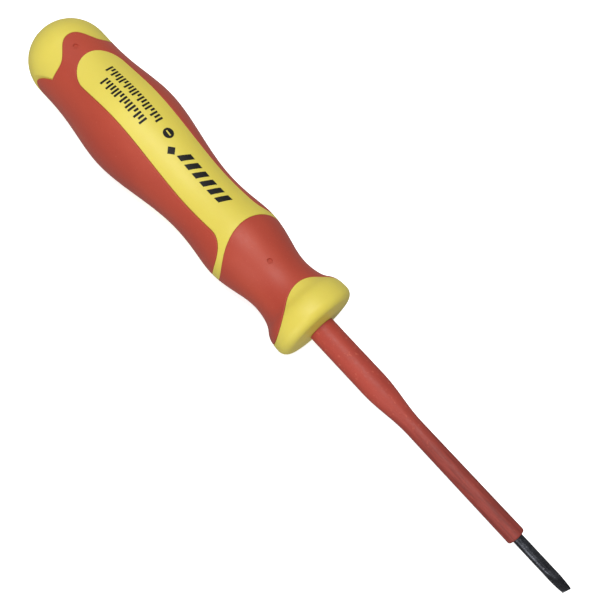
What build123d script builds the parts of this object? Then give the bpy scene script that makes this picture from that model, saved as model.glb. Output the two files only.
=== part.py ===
from build123d import *
import os
from math import asin, cos, degrees, radians, sin, sqrt

# Insulated slotted screwdriver, in millimetres.
# X runs along the tool towards the blade's tip, and Z stands out of the handle's upper panel.
# The origin is on the tool's axis, at the crown of the guard's front face.

# Blade: a round rod with two ground flats, and swaged wings on its tang
blade_reach = 75.0  # from the guard's face to the driving edge
rod_r = 1.25
edge_thickness = 0.4
flat_length = 6.0
flat_hollow = 0.06  # depth of the hollow that the grinding wheel leaves
flat_turn = -70.0  # turn about X from the panel to a flat, towards +Y
tang_end = -60.0
wing_stations = (-54.0, -42.0)
wing_span = 4.4
wing_thickness = 1.5
wing_length = 5.0

# Insulating sleeve
tail_end = -16.0
tail_r = 2.9
tail_front = 0.0  # the root's shoulder bears on the guard's face
root_r = 3.2
taper_start = 16.8
taper_end = 29.5
tube_r = 2.12
lip_r = 2.2  # the thin tube swells a little towards its open end
sleeve_end = 60.5
sleeve_edge_r = 0.5

# Outside of the handle: butt, then stations of (distance along X, radius), then guard
handle_end = -96.7
butt_r = 10.1
butt_crown_r = 16.0
butt_corner_r = 9.0
stations = (
    (-82.0, 10.1),  # pommel
    (-75.0, 10.65),
    (-64.5, 11.85),  # belly
    (-52.5, 10.38),
    (-40.5, 8.72),  # waist
    (-32.5, 9.12),
    (-27.0, 9.68),  # shoulder
    (-23.0, 9.36),  # lip of the shoulder
    (-19.0, 8.48),
    (-13.6, 7.58),  # neck
    (-8.0, 8.7),
)
guard_r = 10.4
rim_round = 2.2
face_turn = 8.0  # the guard's face is domed: its slope at the rim, degrees

# Grips: soft shells let into the core
grip_depth = 1.4
seam_round = 0.2
overhang = 12.5  # half width of a grip's plan, past the widest part of the handle

# Plan of the seams, seen along Z: distances along X and half widths
tongue = ((-87.7, 0.0), (-86.6, 2.6), (-83.9, 4.9), (-83.0, 8.5))  # tip, flank, root, cusp
ear_tip = (-89.4, 10.3)  # the cusp's straight edge ends here, past the side of the pommel
panel_end = -81.1
panel_half_width = 5.9
band_rear = -24.9
band_bend_r = 6.3
collar_crown = -27.6  # rear edge of the front grip, in line with the panel
collar_r = 12.7
guard_crown = -9.75  # rear edge of the guard, in line with the panel
guard_crown_r = 7.45
guard_turn = 36.0  # degrees from the arc's crown to the straight flank

# Moulding gate of each grip: distances along X and Y, and the handle's radius there
rear_gate = (-84.1, -0.8, 10.1)
front_gate = (-17.3, -1.3, 8.06)
gate_r = 0.65
gate_depth = 0.28

on_surface = 0.01  # nearer than this is on the handle's skin

# Arcs that follow from the driving sizes
crown_turn = degrees(asin((butt_r - butt_corner_r) / (butt_crown_r - butt_corner_r)))
rim_turn = 90 - face_turn
face_edge_r = guard_r - rim_round * (1 - cos(radians(rim_turn)))
face_r = face_edge_r / sin(radians(face_turn))
face_crown = face_r * (1 - cos(radians(face_turn)))
guard_rim = (-rim_round * sin(radians(rim_turn)) - face_crown, guard_r)
guard_flank = (overhang - guard_crown_r * sin(radians(guard_turn))) / cos(radians(guard_turn))


def handle_half(inset):
    """Half section of the handle's outside, or of a surface this far inside it."""
    side_points = [(x, r - inset) for x, r in (*stations, guard_rim)]
    with BuildSketch() as half:
        with BuildLine():
            crown = JernArc((handle_end + inset, 0), (0, 1), butt_crown_r - inset, -crown_turn)
            corner = JernArc(crown @ 1, crown % 1, butt_corner_r - inset, crown_turn - 90)
            side = Spline(corner @ 1, *side_points, tangents=((1, 0), (1, 0)))
            rim = JernArc(side @ 1, (1, 0), rim_round - inset, -rim_turn)
            face = JernArc(rim @ 1, rim % 1, face_r - inset, -face_turn)
            Line(face @ 1, crown @ 0)
        make_face()
    return half.sketch


# Whole handle, which the grips and the core are cut from
with BuildPart() as handle:
    revolve(handle_half(0), axis=Axis.X)
skin = handle.part.shell()


def seam_edges(piece):
    """Edges where the piece's outside turns down into a seam."""
    walls = piece.faces().filter_by(lambda face: abs(face.normal_at().Z) < on_surface)
    return walls.edges().filter_by(lambda edge: skin.distance_to(Vertex(edge @ 0.5)) < on_surface)


def make_pocket(plan):
    """The space of one grip: a shell of the handle, cut to its plan."""
    with BuildPart() as pocket:
        add(handle.part)
        revolve(handle_half(grip_depth), axis=Axis.X, mode=Mode.SUBTRACT)
        extrude(plan, amount=overhang, both=True, mode=Mode.INTERSECT)
    return pocket.part


def make_grip(pocket, gate):
    """One grip, rounded along its seams and marked by its moulding gate."""
    gate_x, gate_y, handle_r = gate
    gate_floor = sqrt(handle_r**2 - gate_y**2) - gate_depth
    with BuildPart() as grip:
        add(pocket)
        fillet(seam_edges(grip), radius=seam_round)
        with BuildSketch(Plane.XY.offset(gate_floor)):
            with Locations((gate_x, gate_y)):
                Circle(gate_r)
        extrude(amount=grip_depth, mode=Mode.SUBTRACT)
    return grip


# Blade
with BuildPart() as blade:
    with BuildSketch(Plane.YZ.offset(tang_end)):
        Circle(rod_r)
    extrude(amount=blade_reach - tang_end)
    for station, wing_turn in zip(wing_stations, (0, 90)):
        with BuildSketch(Plane.YZ.offset(station)):
            Rectangle(wing_span, wing_thickness, rotation=wing_turn)
        extrude(amount=wing_length)
    with BuildSketch(Plane.XZ.rotated((-flat_turn, 0, 0))):
        with BuildLine():
            grind = SagittaArc(
                (blade_reach - flat_length, rod_r),
                (blade_reach, edge_thickness / 2),
                flat_hollow,
            )
            Polyline(grind @ 1, (blade_reach, rod_r), grind @ 0)
        make_face()
        mirror(about=Plane.XZ)
    extrude(amount=rod_r, both=True, mode=Mode.SUBTRACT)
blade.part.label = "blade"

# Sleeve: a narrow tail held in the guard, a thick root, a long taper and a thin tube
with BuildPart() as blade_sleeve:
    with BuildSketch() as sleeve_half:
        with BuildLine():
            tail = Polyline((tail_end, rod_r), (tail_end, tail_r), (tail_front, tail_r))
            root = Polyline(tail @ 1, (tail_front, root_r), (taper_start, root_r))
            taper = Spline(root @ 1, (taper_end, tube_r), tangents=((1, 0), (1, 0)))
            Polyline(taper @ 1, (sleeve_end, lip_r), (sleeve_end, rod_r), tail @ 0)
        make_face()
        open_end = sleeve_half.vertices().group_by(Axis.X)[-1].sort_by(Axis.Y)[-1]
        fillet(open_end, radius=sleeve_edge_r)
    revolve(axis=Axis.X)
blade_sleeve.part.label = "blade_sleeve"

# Rear grip: scalloped round the butt, open over the two panels, bent round the band
with BuildSketch() as rear_plan:
    with BuildLine():
        scallop = Spline(*tongue, tangents=((0, 1), (0, 1)))
        side_edge = Polyline(scallop @ 1, ear_tip, (ear_tip[0], overhang), (band_rear, overhang))
        panel_front = (band_rear - band_bend_r, panel_half_width)
        bend = JernArc(panel_front, (1, 0), band_bend_r, 90)
        Line(side_edge @ 1, bend @ 1)
        panel_side = Line(panel_front, (panel_end + panel_half_width, panel_half_width))
        panel_round = JernArc(panel_side @ 1, (-1, 0), panel_half_width, 90)
        Line(panel_round @ 1, scallop @ 0)
    make_face()
    mirror(about=Plane.XZ)
rear_pocket = make_pocket(rear_plan.sketch)
rear_grip = make_grip(rear_pocket, rear_gate)
rear_grip.part.label = "rear_grip"

# Front grip: arched over the shoulder and over the guard
with BuildSketch() as front_plan:
    with BuildLine():
        collar = JernArc((collar_crown, 0), (0, 1), collar_r, -90)
        arch = JernArc((guard_crown, 0), (0, 1), guard_crown_r, -guard_turn)
        flank = PolarLine(arch @ 1, guard_flank, direction=arch % 1)
        Polyline(collar @ 1, flank @ 1)
        Line(arch @ 0, collar @ 0)
    make_face()
    mirror(about=Plane.XZ)
front_pocket = make_pocket(front_plan.sketch)
front_grip = make_grip(front_pocket, front_gate)
front_grip.part.label = "front_grip"

# Core: the whole handle less the grips' pockets, the sleeve's tail and the tang
with BuildPart() as handle_core:
    add(handle.part)
    for held in (rear_pocket, front_pocket, blade_sleeve.part, blade.part):
        add(held, mode=Mode.SUBTRACT)
handle_core.part.label = "handle_core"

os.makedirs("parts", exist_ok=True)
for piece in (blade, blade_sleeve, rear_grip, front_grip, handle_core):
    export_step(piece.part, f"parts/{piece.part.label}.step")
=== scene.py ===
"""Looks for an insulated slotted screwdriver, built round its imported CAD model."""

from math import cos, radians, sin

import bmesh
import bpy
from bpy.props import FloatProperty, FloatVectorProperty, PointerProperty
from bpy.types import Operator, Panel, PropertyGroup
from mathutils import Matrix, Vector
from mathutils.bvhtree import BVHTree


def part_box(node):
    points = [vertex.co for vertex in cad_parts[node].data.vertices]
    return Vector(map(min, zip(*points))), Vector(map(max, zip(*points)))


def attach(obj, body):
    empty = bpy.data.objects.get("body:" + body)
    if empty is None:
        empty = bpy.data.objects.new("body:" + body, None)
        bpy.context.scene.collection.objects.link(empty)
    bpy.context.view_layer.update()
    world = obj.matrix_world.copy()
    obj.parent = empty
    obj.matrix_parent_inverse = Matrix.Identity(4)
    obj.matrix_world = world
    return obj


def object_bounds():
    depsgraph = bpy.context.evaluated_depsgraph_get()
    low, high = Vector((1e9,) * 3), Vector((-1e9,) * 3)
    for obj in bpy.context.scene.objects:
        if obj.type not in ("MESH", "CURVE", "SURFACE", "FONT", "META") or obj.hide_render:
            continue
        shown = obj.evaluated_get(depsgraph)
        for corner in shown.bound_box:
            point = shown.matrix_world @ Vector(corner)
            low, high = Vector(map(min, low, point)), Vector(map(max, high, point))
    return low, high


bl_info = {
    "name": "Insulated Screwdriver",
    "version": (1, 0, 0),
    "blender": (4, 5, 0),
    "location": "View3D > Sidebar > Screwdriver",
    "description": "Finishes, printed marks and studio for an insulated slotted screwdriver",
    "category": "Object",
}

MM = 0.001  # metres in a millimetre

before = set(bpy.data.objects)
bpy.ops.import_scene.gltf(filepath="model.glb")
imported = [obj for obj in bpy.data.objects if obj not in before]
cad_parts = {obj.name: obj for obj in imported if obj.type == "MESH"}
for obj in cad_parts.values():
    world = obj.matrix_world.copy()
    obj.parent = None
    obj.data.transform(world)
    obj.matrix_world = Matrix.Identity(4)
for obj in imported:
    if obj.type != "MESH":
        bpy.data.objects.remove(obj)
CAD_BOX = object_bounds()
HANDLE_LOW, HANDLE_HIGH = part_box("handle_core")
SLEEVE_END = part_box("blade_sleeve")[1].x
DRIVING_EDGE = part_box("blade")[1].x


# ---------------------------------------------------------------- colours and nodes

# Noise hardly leaves the middle of its range of 0 to 1, so a pattern is read over these spans
DRIFT_SPAN = (0.3, 0.7)
GLOSS_SPAN = (0.25, 0.75)

# Numbers of a Mix node's colour sockets
MIX_FIRST = 6
MIX_SECOND = 7
MIX_RESULT = 2


def linear(hex_colour):
    """An sRGB hex colour as linear red, green, blue and alpha."""
    channels = [int(hex_colour[i : i + 2], 16) / 255 for i in (1, 3, 5)]
    return (*(c / 12.92 if c <= 0.04045 else ((c + 0.055) / 1.055) ** 2.4 for c in channels), 1.0)


def colour_property(name, description, hex_colour):
    """A colour that the sidebar shows, with its default from a hex value."""
    return FloatVectorProperty(
        name=name,
        description=description,
        default=linear(hex_colour),
        size=4,
        subtype="COLOR",
        min=0,
        max=1,
    )


def length_property(name, description, millimetres):
    """A length that the sidebar shows, with its default in millimetres."""
    return FloatProperty(
        name=name,
        description=description,
        default=millimetres * MM,
        precision=5,
        unit="LENGTH",
    )


def add_node(tree, kind, settings, inputs):
    """Add a shader node with its settings. Each input is a value, or a socket to link from."""
    node = tree.nodes.new(kind)
    for name, value in settings.items():
        setattr(node, name, value)
    for key, value in inputs.items():
        if isinstance(value, bpy.types.NodeSocket):
            tree.links.new(value, node.inputs[key])
        else:
            node.inputs[key].default_value = value
    return node


def new_material(name):
    """An empty material, with its node tree and its object coordinates."""
    material = bpy.data.materials.new(name)
    material.use_nodes = True
    tree = material.node_tree
    tree.nodes.clear()
    return material, tree, add_node(tree, "ShaderNodeTexCoord", {}, {}).outputs["Object"]


def grain(tree, place, size, detail=2.0, roughness=0.5, stretch=(1, 1, 1)):
    """A pattern of blotches about this many metres across."""
    scaled = add_node(
        tree, "ShaderNodeMapping", {}, {"Vector": place, "Scale": [s / size for s in stretch]}
    ).outputs["Vector"]
    noise = {"Vector": scaled, "Scale": 1.0, "Detail": detail, "Roughness": roughness}
    return add_node(tree, "ShaderNodeTexNoise", {}, noise).outputs["Fac"]


def tint(tree, pattern, first, second, span=DRIFT_SPAN, most=1.0):
    """Turn the first colour to the second as a pattern rises through its span.

    Each colour is a value or a socket, and so is the share that the second one reaches.
    """
    share = add_node(
        tree,
        "ShaderNodeMapRange",
        {"interpolation_type": "SMOOTHSTEP"},
        {"Value": pattern, "From Min": span[0], "From Max": span[1], "To Max": most},
    ).outputs["Result"]
    mixed = add_node(
        tree,
        "ShaderNodeMix",
        {"data_type": "RGBA"},
        {"Factor": share, MIX_FIRST: first, MIX_SECOND: second},
    )
    return mixed.outputs[MIX_RESULT]


def add_shader(tree, inputs):
    """Add the shader that the material ends in, with these inputs."""
    shader = add_node(tree, "ShaderNodeBsdfPrincipled", {}, inputs)
    add_node(tree, "ShaderNodeOutputMaterial", {}, {"Surface": shader.outputs["BSDF"]})


def finish_surface(tree, colour, gloss, bumps, inputs):
    """Add a shader whose roughness and relief follow patterns.

    Gloss is a pattern, its span, and the roughness at the two ends of that span. Each
    bump is a pattern and how many metres its peaks stand above its hollows.
    """
    pattern, span, roughness = gloss
    rough = add_node(
        tree,
        "ShaderNodeMapRange",
        {"interpolation_type": "SMOOTHSTEP"},
        {
            "Value": pattern,
            "From Min": span[0],
            "From Max": span[1],
            "To Min": roughness[0],
            "To Max": roughness[1],
        },
    ).outputs["Result"]
    relief = {}
    for height, proud in bumps:
        bump = {"Height": height, "Strength": 1.0, "Distance": proud, **relief}
        relief["Normal"] = add_node(tree, "ShaderNodeBump", {}, bump).outputs["Normal"]
    add_shader(tree, {"Base Color": colour, "Roughness": rough, **relief, **inputs})


# ---------------------------------------------------------------- materials


def soft_grip_material(look):
    """Thermoplastic elastomer, moulded over the core in a spark-eroded tool.

    The eroded texture leaves a fine even grain, so highlights are broad and milky,
    and the red turns paler on the tips of the grain.
    """
    material, tree, place = new_material("soft_touch_tpe")
    flow = grain(tree, place, 9 * MM, stretch=(0.4, 1, 1))
    sand = grain(tree, place, 0.32 * MM, detail=3.0)  # drawn coarser than the real 0.1 mm
    colour = tint(tree, flow, look.grip_deep, look.grip_red)
    colour = tint(tree, sand, colour, look.grip_pale, span=(0.62, 0.80), most=0.5)
    finish_surface(
        tree,
        colour,
        gloss=(sand, (0.2, 0.8), (0.44, 0.60)),
        bumps=((flow, 0.05 * MM), (sand, 0.016 * MM)),
        inputs={
            "IOR": 1.5,
            "Specular IOR Level": 0.4,
            "Sheen Weight": 0.03,
            "Sheen Roughness": 0.5,
        },
    )
    return material


def hard_core_material(look):
    """Polypropylene, injection moulded in a polished tool.

    It is waxy and satin, with a faint orange peel and slow drifts of tone where it flowed.
    """
    material, tree, place = new_material("moulded_polypropylene")
    flow = grain(tree, place, 14 * MM, stretch=(0.35, 1, 1))
    peel = grain(tree, place, 1.6 * MM, detail=1.0)
    haze = grain(tree, place, 0.28 * MM)  # drawn coarser than the real 0.05 mm
    finish_surface(
        tree,
        tint(tree, flow, look.core_deep, look.core_yellow),
        gloss=(haze, GLOSS_SPAN, (0.44, 0.56)),
        bumps=((peel, 0.012 * MM), (haze, 0.003 * MM)),
        inputs={
            "IOR": 1.49,
            "Subsurface Weight": 0.12,
            "Subsurface Radius": (1.2, 0.9, 0.3),
            "Subsurface Scale": 1.0 * MM,
        },
    )
    return material


def sleeve_material(look):
    """Polypropylene insulation, moulded round the rod in a coarsely spark-eroded tool.

    It is matt, with shallow dimples, drag lines along its length where it was drawn from
    the tool, and pale scuffs. Towards the tip its colour turns darker, as painted shade for
    the light that falls off along the sleeve, and the scuffs are fainter there.
    """
    material, tree, place = new_material("moulded_insulation")
    flow = grain(tree, place, 5 * MM, stretch=(0.35, 1, 1))
    drag = grain(tree, place, 0.5 * MM, stretch=(0.08, 1, 1))  # coarser than the real 0.1 mm
    dimple = grain(tree, place, 0.9 * MM, stretch=(0.6, 1, 1))
    scuff = grain(tree, place, 0.7 * MM, detail=3.0, roughness=0.6, stretch=(0.7, 1, 1))
    along = add_node(tree, "ShaderNodeSeparateXYZ", {}, {"Vector": place}).outputs["X"]
    # Stretch over which the colour darkens towards the tip, as painted shade for the light falling
    # off along the sleeve
    tip_shade_span = (SLEEVE_END - 46 * MM, SLEEVE_END - 18 * MM)
    thick = tint(tree, flow, look.sleeve_deep, look.sleeve_red)
    # The thin stretch's colours are the sleeve's red darkened as painted shade, with darker drag
    # lines
    thin = tint(tree, drag, look.sleeve_tip_shade, look.sleeve_tip_shade_drag)
    colour = tint(tree, along, thick, thin, span=tip_shade_span)
    # The share of paleness that a scuff reaches on the thick wall and on the thin one
    scuffing = add_node(
        tree,
        "ShaderNodeMapRange",
        {"interpolation_type": "SMOOTHERSTEP"},
        {
            "Value": along,
            "From Min": tip_shade_span[0],
            "From Max": tip_shade_span[1],
            "To Min": 0.55,
            "To Max": 0.165,
        },
    ).outputs["Result"]
    colour = tint(tree, scuff, colour, look.grip_pale, span=(0.58, 0.72), most=scuffing)
    finish_surface(
        tree,
        colour,
        gloss=(scuff, GLOSS_SPAN, (0.46, 0.62)),
        bumps=((dimple, 0.05 * MM), (drag, 0.010 * MM), (scuff, 0.014 * MM)),
        inputs={"IOR": 1.49, "Specular IOR Level": 0.36},
    )
    return material


def blackened_steel_material(look):
    """Chrome-vanadium steel, ground and then chemically blackened.

    The grinding grit shows through the black as fine scratches that cross the rod, and
    the black is thin in patches and rubbed to bare metal at the driving edge.
    """
    material, tree, place = new_material("blackened_steel")
    grit = grain(tree, place, 0.18 * MM, detail=3.0)  # drawn coarser than the real 0.05 mm
    # Drawn coarser than the real 0.02 mm
    scratch = grain(tree, place, 0.10 * MM, detail=1.0, stretch=(1, 0.15, 0.15))
    patch = grain(tree, place, 1.8 * MM, detail=3.0)
    along = add_node(tree, "ShaderNodeSeparateXYZ", {}, {"Vector": place}).outputs["X"]
    # Patches that show only in the last stretch before the driving edge
    rubbed = add_node(
        tree,
        "ShaderNodeMapRange",
        {"interpolation_type": "SMOOTHSTEP"},
        {
            "Value": along,
            "From Min": DRIVING_EDGE - 0.7 * MM,
            "From Max": DRIVING_EDGE - 0.05 * MM,
            "To Max": patch,
        },
    ).outputs["Result"]
    colour = tint(tree, patch, look.steel_black, look.steel_grey, span=(0.35, 0.7))
    colour = tint(tree, scratch, colour, look.steel_bare, span=(0.62, 0.8), most=0.6)
    colour = tint(tree, rubbed, colour, look.steel_bare, span=(0.3, 0.55), most=0.85)
    finish_surface(
        tree,
        colour,
        gloss=(grit, GLOSS_SPAN, (0.22, 0.36)),
        bumps=((grit, 0.005 * MM), (scratch, 0.003 * MM)),
        inputs={"Metallic": 1.0},
    )
    return material


def ink_material(look):
    """Pad-printing ink, a thin vinyl film that is nearly flat black and a little uneven."""
    material, tree, place = new_material("pad_printed_ink")
    mottle = grain(tree, place, 0.4 * MM)
    finish_surface(
        tree,
        tint(tree, mottle, look.ink_black, look.ink_thin, span=(0.45, 0.8)),
        gloss=(mottle, GLOSS_SPAN, (0.50, 0.64)),
        bumps=((mottle, 0.004 * MM),),
        inputs={"IOR": 1.5, "Specular IOR Level": 0.3},
    )
    return material


def floor_material(look, glow):
    """Opal acrylic sheet, lit from below: matt white, with hardly any tone of its own."""
    material, tree, place = new_material("opal_acrylic")
    fleck = grain(tree, place, 3 * MM)
    add_shader(
        tree,
        {
            "Base Color": tint(tree, fleck, look.floor_white, look.floor_pale),
            "Roughness": 0.9,
            "Specular IOR Level": 0.1,
            "Emission Color": look.floor_white,
            "Emission Strength": glow,
        },
    )
    return material


# ---------------------------------------------------------------- settings


class ScrewdriverLook(PropertyGroup):
    """Colours of the screwdriver and its floor."""

    grip_red: colour_property("Grip", "Soft grip in plain light", "#B44631")
    grip_deep: colour_property("Grip, deep", "Soft grip where the mould flowed thick", "#AB3F2D")
    grip_pale: colour_property("Grip, pale", "Tips of the grip's grain", "#CE6A55")
    core_yellow: colour_property("Core", "Hard core in plain light", "#E1D159")
    core_deep: colour_property("Core, deep", "Hard core where it flowed thick", "#DAC950")
    sleeve_red: colour_property("Sleeve", "Insulating sleeve", "#AF4436")
    sleeve_deep: colour_property("Sleeve, deep", "Sleeve where it flowed thick", "#A13B2F")
    # Painted shade: the sleeve's red darkened for its tip, where the light falls off, with darker
    # drag lines
    sleeve_tip_shade: colour_property("Sleeve, thin", "Sleeve where its wall is thin", "#953B31")
    sleeve_tip_shade_drag: colour_property("Sleeve, dull", "Drag lines of the thin wall", "#7D3028")
    steel_black: colour_property("Steel", "Blackened steel", "#34353A")
    steel_grey: colour_property("Steel, grey", "Blackened steel where the black is thin", "#4E5056")
    steel_bare: colour_property("Steel, bare", "Steel with the black rubbed off", "#A8AAAE")
    ink_black: colour_property("Ink", "Printed marks", "#0C0B0A")
    ink_thin: colour_property("Ink, thin", "Printed marks where the film is thin", "#201B12")
    floor_white: colour_property("Floor", "Studio floor", "#FAFAFA")
    floor_pale: colour_property("Floor, pale", "Flecks in the studio floor", "#F7F7F7")


class ScrewdriverPrint(PropertyGroup):
    """Sizes of the printed marks on the handle's upper panel."""

    ink_lift: length_property("Ink lift", "How far the ink stands on the core", 0.035)
    ink_depth: length_property("Ink depth", "Thickness of the film, with what sinks in", 0.05)


class ScrewdriverStage(PropertyGroup):
    """Camera and lights."""

    aim: FloatVectorProperty(
        name="Aim",
        description="Point of the tool that the camera looks at",
        default=(-7.98 * MM, 0.9 * MM, 0),
        subtype="TRANSLATION",
        unit="LENGTH",
    )
    distance: length_property("Distance", "From the camera to its aim", 201.4)
    azimuth: FloatProperty(
        name="Azimuth",
        description="Camera's turn about Z",
        default=radians(24.3),
        subtype="ANGLE",
    )
    elevation: FloatProperty(
        name="Elevation",
        description="Camera's height above the floor, as an angle",
        default=radians(65.68),
        subtype="ANGLE",
    )
    roll: FloatProperty(
        name="Roll",
        description="Camera's turn about its view",
        default=radians(24.5),
        subtype="ANGLE",
    )
    surround: FloatProperty(
        name="Surround", description="Brightness of the studio round the tool", default=0.37
    )
    backdrop: FloatProperty(
        name="Backdrop", description="Brightness of the studio behind the floor", default=0.85
    )
    floor_glow: FloatProperty(
        name="Floor glow", description="Brightness of the lit sheet under the tool", default=0.7
    )
    lens: FloatProperty(
        name="Lens", description="Focal length on a 36 mm sensor", default=54.17, unit="CAMERA"
    )


# ---------------------------------------------------------------- shaping


def keep_cad_node(name, material):
    """Give a CAD node that stays its material."""
    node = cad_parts.get(name)
    if node is None:
        raise RuntimeError(f"the frame has no node named {name}")
    node.data.materials.clear()
    node.data.materials.append(material)


def add_piece(name, bm, material):
    """Turn a bmesh into a finished piece that rides on the tool."""
    bmesh.ops.recalc_face_normals(bm, faces=bm.faces)
    mesh = bpy.data.meshes.new(name)
    bm.to_mesh(mesh)
    bm.free()
    piece = bpy.data.objects.new(name, mesh)
    bpy.context.scene.collection.objects.link(piece)
    mesh.materials.append(material)
    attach(piece, "root")


# Printed marks, in millimetres from the origin, on the panel that faces +Z
BAR_ROWS = (
    # first X, last X, middle Y, height, number of bars, bar width, slant in degrees
    (-74.6, -57.4, 1.2, 2.0, 20, 0.5, 0),
    (-72.6, -59.2, -1.9, 2.1, 15, 0.54, 0),
)
BAND_ROW = (-47.2, -34.6, 0.4, 2.9, 6, 1.5, 25)
BAR_SHARES = (1.0, 0.55, 1.0, 0.75, 1.0)  # heights of the bars in turn, as shares of the row's
DISC_CENTRE = (-53.8, 0.9)
DISC_R = 1.25
DISC_SIDES = 32
DISC_SLOT = (1.45, 0.36)  # length and width
LOZENGE_CENTRE = (-50.3, -1.2)
LOZENGE_R = 1.15
LOZENGE_SIDES = 4


def add_bar(bm, centre, size, slant):
    """A flat bar, divided finely enough to be bent over the handle."""
    lean = Matrix.Identity(4)
    lean[0][1] = sin(slant) / cos(slant)
    place = Matrix.Translation((*centre, 0)) @ lean @ Matrix.Diagonal((*size, 1, 1))
    bmesh.ops.create_grid(bm, x_segments=3, y_segments=6, size=0.5, matrix=place)


def add_bar_row(bm, row, shares=(1.0,)):
    """A row of bars along X that stand on one line, as high as their shares say."""
    first_x, last_x, middle_y, height, count, width, slant = row
    step = (last_x - first_x) / (count - 1)
    for i in range(count):
        high = height * shares[i % len(shares)]
        centre = ((first_x + i * step) * MM, (middle_y + (height - high) / 2) * MM)
        add_bar(bm, centre, (width * MM, high * MM), radians(slant))


def add_disc(bm, centre, radius, sides):
    """A flat disc or lozenge, in rings fine enough to be bent over the handle."""
    place = Matrix.Translation((centre[0] * MM, centre[1] * MM, 0))
    bmesh.ops.create_circle(
        bm, cap_ends=True, cap_tris=True, segments=sides, radius=radius * MM, matrix=place
    )
    bmesh.ops.subdivide_edges(bm, edges=bm.edges[:], cuts=2, use_grid_fill=True)


def cut_slot(bm, centre, size):
    """Cut a bar-shaped window out of a flat mark."""
    middle = Vector((centre[0] * MM, centre[1] * MM, 0))
    half = Vector((size[0] * MM / 2, size[1] * MM / 2, 0))
    for axis in (0, 1):
        normal = Vector((0, 0, 0))
        normal[axis] = 1
        for side in (-1, 1):
            bmesh.ops.bisect_plane(
                bm,
                geom=bm.verts[:] + bm.edges[:] + bm.faces[:],
                plane_co=middle + normal * side * half[axis],
                plane_no=normal,
            )
    window = [
        f
        for f in bm.faces
        if all(abs((f.calc_center_median() - middle)[axis]) < half[axis] for axis in (0, 1))
    ]
    bmesh.ops.delete(bm, geom=window, context="FACES")


def lay_on_core(bm, print_sizes):
    """Drop flat marks on to the core's upper face and give them the ink's thickness."""
    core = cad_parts["handle_core"]
    surface = BVHTree.FromObject(core, bpy.context.evaluated_depsgraph_get())
    above = HANDLE_HIGH.z * 2
    for vert in bm.verts:
        hit = surface.ray_cast(Vector((vert.co.x, vert.co.y, above)), Vector((0, 0, -1)))[0]
        if hit is None:
            raise RuntimeError(f"a mark at {vert.co.x:.4f}, {vert.co.y:.4f} misses the core")
        vert.co.z = hit.z + print_sizes.ink_lift
    bmesh.ops.recalc_face_normals(bm, faces=bm.faces)
    down = [f for f in bm.faces if f.normal.z < 0]
    bmesh.ops.reverse_faces(bm, faces=down)
    bmesh.ops.solidify(bm, geom=bm.faces[:], thickness=print_sizes.ink_depth)


# ---------------------------------------------------------------- stage

FLOOR_REACH = 3.0  # from the middle of the floor to each side, in metres
FLOOR_GAP = 0.05 * MM  # under the tool
SENSOR_WIDTH = 36  # the camera's, in millimetres


def seat(aim, azimuth, elevation, distance, roll=0.0):
    """Where a camera or light stands that looks at aim from these angles."""
    back = Vector((sin(azimuth) * cos(elevation), -cos(azimuth) * cos(elevation), sin(elevation)))
    turn = back.to_track_quat("Z", "Y").to_matrix().to_4x4()
    return Matrix.Translation(aim + back * distance) @ turn @ Matrix.Rotation(roll, 4, "Z")


def studio_world(stage):
    """An even, dim surround that shows behind the floor as a pale backdrop."""
    world = bpy.data.worlds.new("studio")
    world.use_nodes = True
    tree = world.node_tree
    tree.nodes.clear()
    seen = add_node(tree, "ShaderNodeLightPath", {}, {}).outputs["Is Camera Ray"]
    strength = add_node(
        tree,
        "ShaderNodeMapRange",
        {},
        {"Value": seen, "To Min": stage.surround, "To Max": stage.backdrop},
    ).outputs["Result"]
    background = add_node(
        tree, "ShaderNodeBackground", {}, {"Color": (1, 1, 1, 1), "Strength": strength}
    )
    add_node(tree, "ShaderNodeOutputWorld", {}, {"Surface": background.outputs["Background"]})
    return world


def add_light(name, azimuth, elevation, distance, size, watts):
    """A square soft light that looks at the handle."""
    light_data = bpy.data.lights.new(name, "AREA")
    light_data.shape = "SQUARE"
    light_data.size = size
    light_data.energy = watts
    light = bpy.data.objects.new(name, light_data)
    bpy.context.scene.collection.objects.link(light)
    aim = (HANDLE_LOW + HANDLE_HIGH) / 2
    light.matrix_world = seat(aim, radians(azimuth), radians(elevation), distance)


def add_floor(material):
    """A plain sheet just below the tool. It throws neither light nor reflections on it."""
    bm = bmesh.new()
    below = Matrix.Translation((0, 0, CAD_BOX[0].z - FLOOR_GAP))
    bmesh.ops.create_grid(bm, x_segments=1, y_segments=1, size=FLOOR_REACH, matrix=below)
    mesh = bpy.data.meshes.new("floor")
    bm.to_mesh(mesh)
    bm.free()
    mesh.materials.append(material)
    floor = bpy.data.objects.new("floor", mesh)
    floor.visible_diffuse = False
    floor.visible_glossy = False
    bpy.context.scene.collection.objects.link(floor)


def add_camera(stage):
    """The camera that the scene is seen through."""
    camera_data = bpy.data.cameras.new("camera")
    camera_data.lens = stage.lens
    camera_data.sensor_width = SENSOR_WIDTH
    camera = bpy.data.objects.new("camera", camera_data)
    bpy.context.scene.collection.objects.link(camera)
    camera.matrix_world = seat(
        Vector(stage.aim), stage.azimuth, stage.elevation, stage.distance, stage.roll
    )
    bpy.context.scene.camera = camera


# ---------------------------------------------------------------- operators


class SCREWDRIVER_OT_blade(Operator):
    """Finish the blade in blackened steel"""

    bl_idname = "screwdriver.blade"
    bl_label = "Blade"

    def execute(self, context):
        keep_cad_node("blade", blackened_steel_material(context.scene.screwdriver_look))
        return {"FINISHED"}


class SCREWDRIVER_OT_sleeve(Operator):
    """Finish the insulating sleeve in moulded polypropylene"""

    bl_idname = "screwdriver.sleeve"
    bl_label = "Insulating Sleeve"

    def execute(self, context):
        keep_cad_node("blade_sleeve", sleeve_material(context.scene.screwdriver_look))
        return {"FINISHED"}


class SCREWDRIVER_OT_core(Operator):
    """Finish the hard core in moulded polypropylene"""

    bl_idname = "screwdriver.core"
    bl_label = "Handle Core"

    def execute(self, context):
        keep_cad_node("handle_core", hard_core_material(context.scene.screwdriver_look))
        return {"FINISHED"}


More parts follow.
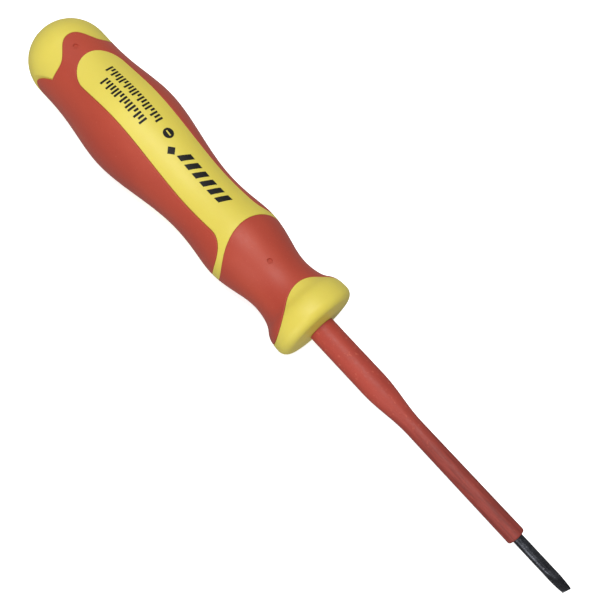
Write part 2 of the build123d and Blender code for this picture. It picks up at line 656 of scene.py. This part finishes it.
class SCREWDRIVER_OT_grips(Operator):
    """Finish both grips in soft elastomer"""

    bl_idname = "screwdriver.grips"
    bl_label = "Grips"

    def execute(self, context):
        rubber = soft_grip_material(context.scene.screwdriver_look)
        keep_cad_node("rear_grip", rubber)
        keep_cad_node("front_grip", rubber)
        return {"FINISHED"}


class SCREWDRIVER_OT_print_marks(Operator):
    """Print plain marks on the handle's upper panel"""

    bl_idname = "screwdriver.print_marks"
    bl_label = "Printed Marks"

    def execute(self, context):
        sizes = context.scene.screwdriver_print
        ink = ink_material(context.scene.screwdriver_look)
        marks = {
            name: bmesh.new() for name in ("size_bars", "band_bars", "slot_symbol", "lozenge_mark")
        }
        for row in BAR_ROWS:
            add_bar_row(marks["size_bars"], row, BAR_SHARES)
        add_bar_row(marks["band_bars"], BAND_ROW)
        add_disc(marks["slot_symbol"], DISC_CENTRE, DISC_R, DISC_SIDES)
        cut_slot(marks["slot_symbol"], DISC_CENTRE, DISC_SLOT)
        add_disc(marks["lozenge_mark"], LOZENGE_CENTRE, LOZENGE_R, LOZENGE_SIDES)
        for name, bm in marks.items():
            lay_on_core(bm, sizes)
            add_piece(name, bm, ink)
        return {"FINISHED"}


class SCREWDRIVER_OT_stage(Operator):
    """Set the floor, the lights and the camera"""

    bl_idname = "screwdriver.stage"
    bl_label = "Stage"

    def execute(self, context):
        scene = context.scene
        stage = scene.screwdriver_stage
        add_floor(floor_material(scene.screwdriver_look, stage.floor_glow))
        scene.world = studio_world(stage)
        add_light("key", azimuth=5, elevation=80, distance=0.45, size=0.17, watts=1.3)
        add_light("fill", azimuth=32, elevation=20, distance=0.6, size=0.4, watts=1.25)
        add_camera(stage)
        scene.view_settings.view_transform = "Standard"
        return {"FINISHED"}


class SCREWDRIVER_PT_panel(Panel):
    """Lists the screwdriver's pieces and settings"""

    bl_idname = "SCREWDRIVER_PT_panel"
    bl_label = "Screwdriver"
    bl_space_type = "VIEW_3D"
    bl_region_type = "UI"
    bl_category = "Screwdriver"

    def draw(self, context):
        for operator in OPERATORS:
            self.layout.operator(operator.bl_idname)
        for group in SETTINGS:
            settings = getattr(context.scene, group)
            for key in settings.__annotations__:
                self.layout.prop(settings, key)


OPERATORS = (
    SCREWDRIVER_OT_blade,
    SCREWDRIVER_OT_sleeve,
    SCREWDRIVER_OT_core,
    SCREWDRIVER_OT_grips,
    SCREWDRIVER_OT_print_marks,
    SCREWDRIVER_OT_stage,
)
SETTINGS = {
    "screwdriver_look": ScrewdriverLook,
    "screwdriver_print": ScrewdriverPrint,
    "screwdriver_stage": ScrewdriverStage,
}


def register():
    for cls in (*SETTINGS.values(), *OPERATORS, SCREWDRIVER_PT_panel):
        bpy.utils.register_class(cls)
    for name, group in SETTINGS.items():
        setattr(bpy.types.Scene, name, PointerProperty(type=group))


def unregister():
    for name in SETTINGS:
        delattr(bpy.types.Scene, name)
    for cls in reversed((*SETTINGS.values(), *OPERATORS, SCREWDRIVER_PT_panel)):
        bpy.utils.unregister_class(cls)


def main():
    """Register the add-on, then build every piece in order."""
    register()
    bpy.ops.screwdriver.blade()
    bpy.ops.screwdriver.sleeve()
    bpy.ops.screwdriver.core()
    bpy.ops.screwdriver.grips()
    bpy.ops.screwdriver.print_marks()
    bpy.ops.screwdriver.stage()


if __name__ == "__main__":
    main()
